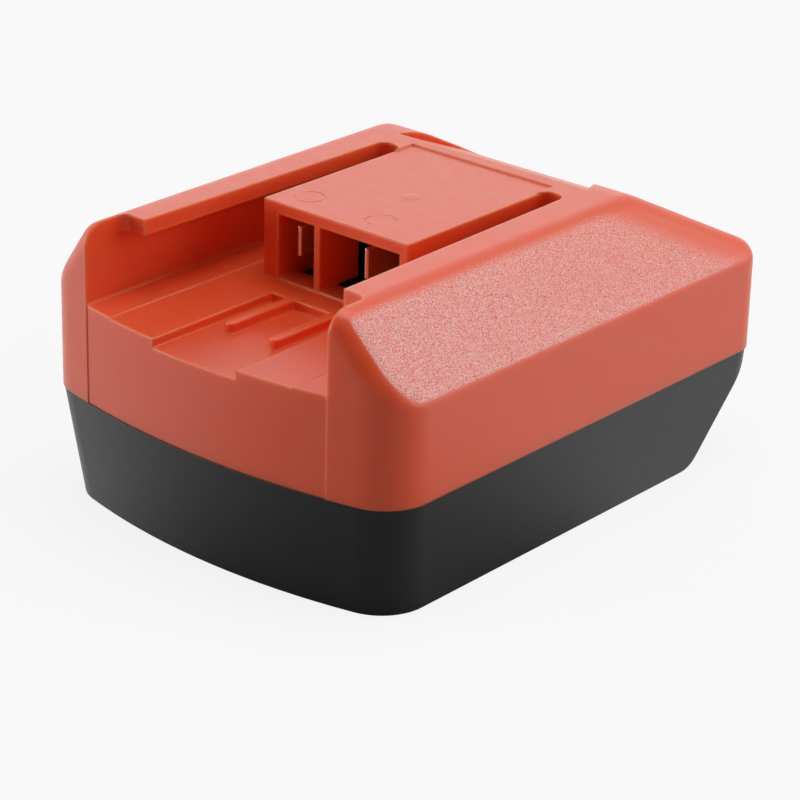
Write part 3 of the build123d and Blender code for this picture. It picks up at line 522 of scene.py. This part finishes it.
orange = orange_plastic()
print("orange plastic:", len(orange.node_tree.nodes), "nodes")

# %% [markdown]
# The lower housing is a dark grey plastic with a finer, even satin, and the carrier of the blades is
# darker still. Under a soft light the sides look mid grey and the front nearly black, which is reflection
# and not paint. Painting them in two greys would fail from any other side, so the colour stays very dark
# all over and a moderate roughness spreads the reflection.

# %% Dark plastics
DARK_SHINE = 0.35
DARK_CLOUD_SIZE = 9 * MM
DARK_CLOUD_PALER = 1.25
DARK_SATIN_SIZE = 2 * MM
DARK_ROUGHNESS_SPREAD = 0.015
DARK_EDGE_RADIUS = 0.25 * MM
DARK_SKIN_DEPTH = 0.002 * MM
HOUSING_GREY = (0.017, 0.017, 0.017)
HOUSING_GREY_ROUGHNESS = 0.42
HOUSING_SKIN_SIZE = 0.2 * MM
CARRIER_BLACK = (0.008, 0.008, 0.008)
CARRIER_ROUGHNESS = 0.5
CARRIER_SKIN_SIZE = 0.15 * MM


def dark_plastic(name, colour, roughness, skin_size):
    """A dark moulded plastic with a fine, even surface."""
    material, tree, shader = new_finish(name, Specular_IOR_Level=DARK_SHINE)
    place = object_place(tree)
    cloud = noise(tree, place, DARK_CLOUD_SIZE)
    paler = tuple(DARK_CLOUD_PALER * value for value in colour)
    tree.links.new(mix_colour(tree, cloud, colour, paler), shader.inputs["Base Color"])
    smoothest = roughness - DARK_ROUGHNESS_SPREAD
    roughest = roughness + DARK_ROUGHNESS_SPREAD
    satin = wander(tree, noise(tree, place, DARK_SATIN_SIZE), smoothest, roughest)
    tree.links.new(satin, shader.inputs["Roughness"])
    softened = soft_normal(tree, DARK_EDGE_RADIUS)
    skin = bump(tree, noise(tree, place, skin_size), DARK_SKIN_DEPTH, under=softened)
    tree.links.new(skin, shader.inputs["Normal"])
    return material


grey = dark_plastic("dark_plastic_finish", HOUSING_GREY, HOUSING_GREY_ROUGHNESS, HOUSING_SKIN_SIZE)
black = dark_plastic("carrier_plastic_finish", CARRIER_BLACK, CARRIER_ROUGHNESS, CARRIER_SKIN_SIZE)
print("dark plastics:", grey.name, black.name)

# %% [markdown]
# The blades are plated metal, stamped from strip, so they carry a faint brushing along their length. The
# screws and springs are plain steel. A metal has no colour of its own under its reflection: Metallic is 1
# on the flats, and the base colour is the colour of the reflection. A sheared edge is torn and matt, and
# shows as a pale line even where the metal mirrors something dark. So Metallic falls along the edges.

# %% Metals
METAL_MARK_SIZE = 0.12 * MM
METAL_MARK_DEPTH = 0.0006 * MM
METAL_CLOUD_SIZE = 4 * MM
METAL_CLOUD_DULLER = 0.82
METAL_SMOOTHER = 0.03
METAL_ROUGHER = 0.04
METAL_EDGE_RADIUS = 0.3 * MM
METAL_EDGE_METALLIC = 0.3
ALONG_THE_BLADE = (1, 0.05, 1)
NO_STRETCH = (1, 1, 1)
CONTACT_COLOUR = (0.86, 0.84, 0.79)
CONTACT_ROUGHNESS = 0.22
SCREW_COLOUR = (0.50, 0.50, 0.50)
SCREW_ROUGHNESS = 0.34
SPRING_COLOUR = (0.60, 0.60, 0.60)
SPRING_ROUGHNESS = 0.28


def metal(name, colour, roughness, stretch):
    """A metal with fine marks, which a small scale along an axis draws out along it."""
    material, tree, shader = new_finish(name, Metallic=1.0)
    place = object_place(tree)
    squeeze = tree.nodes.new("ShaderNodeMapping")
    squeeze.inputs["Scale"].default_value = stretch
    tree.links.new(place, squeeze.inputs["Vector"])
    marks = noise(tree, squeeze.outputs["Vector"], METAL_MARK_SIZE)
    cloud = noise(tree, place, METAL_CLOUD_SIZE)
    duller = tuple(METAL_CLOUD_DULLER * value for value in colour)
    tree.links.new(mix_colour(tree, cloud, colour, duller), shader.inputs["Base Color"])
    satin = wander(tree, marks, roughness - METAL_SMOOTHER, roughness + METAL_ROUGHER)
    tree.links.new(satin, shader.inputs["Roughness"])
    softened = soft_normal(tree, METAL_EDGE_RADIUS)
    sheared = spread(tree, edge_share(tree, softened), 0, 1, 1, METAL_EDGE_METALLIC)
    tree.links.new(sheared, shader.inputs["Metallic"])
    brushed = bump(tree, marks, METAL_MARK_DEPTH, under=softened)
    tree.links.new(brushed, shader.inputs["Normal"])
    return material


contact = metal("contact_metal_finish", CONTACT_COLOUR, CONTACT_ROUGHNESS, ALONG_THE_BLADE)
screw_steel = metal("screw_steel_finish", SCREW_COLOUR, SCREW_ROUGHNESS, NO_STRETCH)
spring_steel = metal("spring_steel_finish", SPRING_COLOUR, SPRING_ROUGHNESS, NO_STRETCH)
print("metals:", contact.name, screw_steel.name, spring_steel.name)

# %% [markdown]
# The board and its components sit inside, but they show when the housing is taken apart, so they get
# their own finishes: a green solder mask, black epoxy, a sleeved capacitor, a ceramic fuse and the
# insulation of the leads. Each is a smooth surface with a second colour clouded into it, so one function
# with a table of colours makes them all. The table gives a colour, the second colour, the roughness and
# the size of the blotches.

# %% Board, components and leads
LACQUER_CLOUD_RANGE = (0.45, 0.60)
LACQUER_SMOOTHER = 0.03
LACQUER_ROUGHER = 0.05
LACQUER_DEPTH = 0.004 * MM
LACQUERS = {
    "board": ((0.01, 0.09, 0.03), (0.02, 0.14, 0.05), 0.25, 1.5 * MM),
    "capacitor": ((0.012, 0.014, 0.03), (0.02, 0.02, 0.04), 0.3, 3 * MM),
    "component": ((0.01, 0.01, 0.01), (0.02, 0.02, 0.02), 0.45, 0.8 * MM),
    "fuse": ((0.70, 0.68, 0.60), (0.78, 0.76, 0.70), 0.3, 2 * MM),
    "red_lead": ((0.40, 0.012, 0.010), (0.46, 0.02, 0.015), 0.32, 2 * MM),
    "black_lead": ((0.010, 0.010, 0.010), (0.018, 0.018, 0.018), 0.32, 2 * MM),
    "white_lead": ((0.70, 0.70, 0.68), (0.76, 0.76, 0.74), 0.32, 2 * MM),
}


def lacquer(name, colour, second, roughness, size):
    """A smooth coloured surface with a second colour clouded into it."""
    material, tree, shader = new_finish(f"{name}_finish")
    place = object_place(tree)
    cloud = spread(tree, noise(tree, place, size), *LACQUER_CLOUD_RANGE, 0, 1)
    tree.links.new(mix_colour(tree, cloud, colour, second), shader.inputs["Base Color"])
    finer = noise(tree, place, size / 2)
    satin = wander(tree, finer, roughness - LACQUER_SMOOTHER, roughness + LACQUER_ROUGHER)
    tree.links.new(satin, shader.inputs["Roughness"])
    finest = noise(tree, place, size / 4)
    tree.links.new(bump(tree, finest, LACQUER_DEPTH), shader.inputs["Normal"])
    return material


lacquers = {name: lacquer(name, *look) for name, look in LACQUERS.items()}
print("lacquers:", ", ".join(lacquers))

# %% [markdown]
# The record says which finish each node takes. It could be read off each node's name, but the record is
# what a later change keeps up to date. A node's object keeps its mesh, and only what its material slots
# hold is changed. The meshes come in with their true normals, so nothing has to be smoothed.

# %% Give each node its finish
finishes = {
    "orange_plastic": orange,
    "orange_latch_plastic": orange,
    "dark_plastic": grey,
    "carrier_plastic": black,
    "contact_metal": contact,
    "screw_steel": screw_steel,
    "spring_steel": spring_steel,
    "board_laminate": lacquers["board"],
    "capacitor_can": lacquers["capacitor"],
    "component_black": lacquers["component"],
    "fuse_ceramic": lacquers["fuse"],
    "lead_red": lacquers["red_lead"],
    "lead_black": lacquers["black_lead"],
    "lead_white": lacquers["white_lead"],
}

for part in record["subparts"]:
    node = nodes[part["node"]]
    finish = finishes[part["material_slot"]]
    if not node.material_slots:
        node.data.materials.append(finish)
    for held in node.material_slots:
        held.material = finish
print("dressed:", len(record["subparts"]), "nodes with", len(finishes), "finishes")

# %% [markdown]
# Two coil springs push the latch up. Their lower ends stand on the lower housing and their upper ends
# carry the latch, so they belong to neither body alone. Left on one body they would cut into the other.
# Each gets a copy of its own mesh instead, which rides on the housing, and the original is hidden.


def shortening_spring(node_name):
    """A copy of the spring that rides on the housing, while the original is hidden."""
    spring = bpy.data.objects.new(f"{node_name}_coil", nodes[node_name].data.copy())
    bpy.context.scene.collection.objects.link(spring)
    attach(spring, "housing")
    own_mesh(spring)
    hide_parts(node_name)
    return spring


for side in ("left", "right"):
    coil = shortening_spring(f"latch_spring_{side}")
    print(coil.name, "height", round(coil.dimensions.z / MM, 2), "mm")

# %% [markdown]
# The photograph's ground is pure white. More light on a floor would also light the object from below, so
# the Light Path node tells the rays apart. To the camera the floor is mostly plain white, and the share of
# it that stays a lit surface keeps the object's soft shadow. To the light that bounces off it, it is a mid
# grey. Reflections see a white studio, but one that darkens towards its open front end. With white all
# round, the faces that look that way would come out too pale. The dark end has a fixed direction in the
# studio, so it stays there when the object is seen from another side.

# %% Floor
FLOOR_HALF = 3.0
FLOOR_COLOUR = (0.42, 0.42, 0.42)
FLOOR_SEEN_COLOUR = (0.90, 0.90, 0.90)
FLOOR_ROUGHNESS = 0.9
CAMERA_WHITE_SHARE = 0.85
DARK_END = Vector((sin(CAMERA_AZIMUTH), -cos(CAMERA_AZIMUTH), 0))
DARK_END_START = 0.1
LEVEL = Vector((1, 1, 0))


def studio_white(tree, direction):
    """1 all round, falling to 0 towards the dark end of the studio."""
    level = vector_step(tree, "MULTIPLY", direction, LEVEL)
    unit = vector_step(tree, "NORMALIZE", level)
    towards = vector_step(tree, "DOT_PRODUCT", unit, DARK_END)
    return spread(tree, towards, DARK_END_START, 1, 1, 0)


def white_ground(name):
    """A matt surface that is mostly white to the camera and white to reflections."""
    material, tree, shader = new_finish(name, Roughness=FLOOR_ROUGHNESS)
    path = tree.nodes.new("ShaderNodeLightPath")
    to_camera = path.outputs["Is Camera Ray"]
    tree.links.new(mix_colour(tree, to_camera, FLOOR_COLOUR, FLOOR_SEEN_COLOUR), shader.inputs["Base Color"])
    mirrored = calculate(tree, "MAXIMUM", path.outputs["Is Glossy Ray"], path.outputs["Is Transmission Ray"])
    seen = product(tree, to_camera, CAMERA_WHITE_SHARE)
    reflected = product(tree, mirrored, studio_white(tree, object_place(tree)))
    white = tree.nodes.new("ShaderNodeEmission")
    mixed = tree.nodes.new("ShaderNodeMixShader")
    tree.links.new(calculate(tree, "MAXIMUM", seen, reflected), mixed.inputs["Fac"])
    tree.links.new(shader.outputs["BSDF"], mixed.inputs[1])
    tree.links.new(white.outputs["Emission"], mixed.inputs[2])
    tree.links.new(mixed.outputs["Shader"], tree.nodes["Material Output"].inputs["Surface"])
    return material


def add_floor():
    """A flat sheet under the object."""
    mesh = bpy.data.meshes.new("studio_floor")
    half = FLOOR_HALF
    corners = [(-half, -half, 0), (half, -half, 0), (half, half, 0), (-half, half, 0)]
    mesh.from_pydata(corners, [], [(0, 1, 2, 3)])
    mesh.materials.append(white_ground("studio_floor_finish"))
    floor = bpy.data.objects.new("studio_floor", mesh)
    bpy.context.scene.collection.objects.link(floor)
    return floor


floor = add_floor()
print(floor.name, "is", 2 * FLOOR_HALF, "m square")

# %% [markdown]
# The world is the rest of the studio. It is white to the camera, white but for its dark end to
# reflections, and only a faint grey as a light, so the lamps decide how the object is shaded.

# %% World
AMBIENT = 0.12
WHITE = (1, 1, 1, 1)


def light_world():
    """White to the camera and to reflections, a faint grey as a light."""
    world = bpy.data.worlds.new("studio_world")
    world.use_nodes = True
    tree = world.node_tree
    path = tree.nodes.new("ShaderNodeLightPath")
    direction = tree.nodes.new("ShaderNodeTexCoord").outputs["Generated"]
    reflected = product(tree, path.outputs["Is Glossy Ray"], studio_white(tree, direction))
    seen = calculate(tree, "MAXIMUM", path.outputs["Is Camera Ray"], path.outputs["Is Transmission Ray"])
    white = calculate(tree, "MAXIMUM", seen, reflected)
    background = tree.nodes["Background"]
    background.inputs["Color"].default_value = WHITE
    tree.links.new(calculate(tree, "MAXIMUM", white, AMBIENT), background.inputs["Strength"])
    return world


bpy.context.scene.world = light_world()
print("world:", bpy.context.scene.world.name)

# %% [markdown]
# Small or hard lamps would draw sharp shadows and bright spots, which the photograph doesn't have, so all
# four are wide area lamps. The main one hangs overhead: the tops and the channel's floor are lit, and the
# walls under the lips stay a deep red. One beyond the right side and a low one at the left front corner
# light the two faces that show, and the corner between them stays the darkest. A weak one lies behind the
# object: seen at a flat angle, the tops mirror it and turn from orange to salmon.

# %% Lamps
LAMP_DISTANCE = 0.95
LAMP_AIM = Vector((0, 0, 0.03))
SQUARE_BOX = (0.7, 0.7)
LOW_BOX = (0.85, 0.30)
SOFTBOXES = {
    "softbox_overhead": {"direction": (0.12, 0.10, 0.98), "size": SQUARE_BOX, "power": 4.1},
    "softbox_right": {"direction": (0.80, 0.50, 0.30), "size": SQUARE_BOX, "power": 3.9},
    "softbox_left": {"direction": (-0.72, -0.68, 0.20), "size": LOW_BOX, "power": 3.6},
    "softbox_back": {"direction": (-0.60, 0.70, 0.42), "size": SQUARE_BOX, "power": 0.7},
}


def softbox(name, direction, size, power):
    """A flat area lamp in this direction from the object, turned towards it."""
    data = bpy.data.lights.new(name, "AREA")
    data.shape = "RECTANGLE"
    data.size, data.size_y = size
    data.energy = power
    lamp = bpy.data.objects.new(name, data)
    lamp.location = LAMP_AIM + Vector(direction).normalized() * LAMP_DISTANCE
    lamp.rotation_euler = (LAMP_AIM - lamp.location).to_track_quat("-Z", "Y").to_euler()
    bpy.context.scene.collection.objects.link(lamp)
    return lamp


for name, setting in SOFTBOXES.items():
    lamp = softbox(name, **setting)
    print(lamp.name, setting["power"], "W")

# %% [markdown]
# Everything has its place now.

# %% [markdown]
# The Standard view shows each colour about as it was written. Blender's own choice imitates film, and would
# grey the white ground and dull the orange.

# %% Finish
bpy.context.scene.view_settings.view_transform = "Standard"
print("view:", bpy.context.scene.view_settings.view_transform)
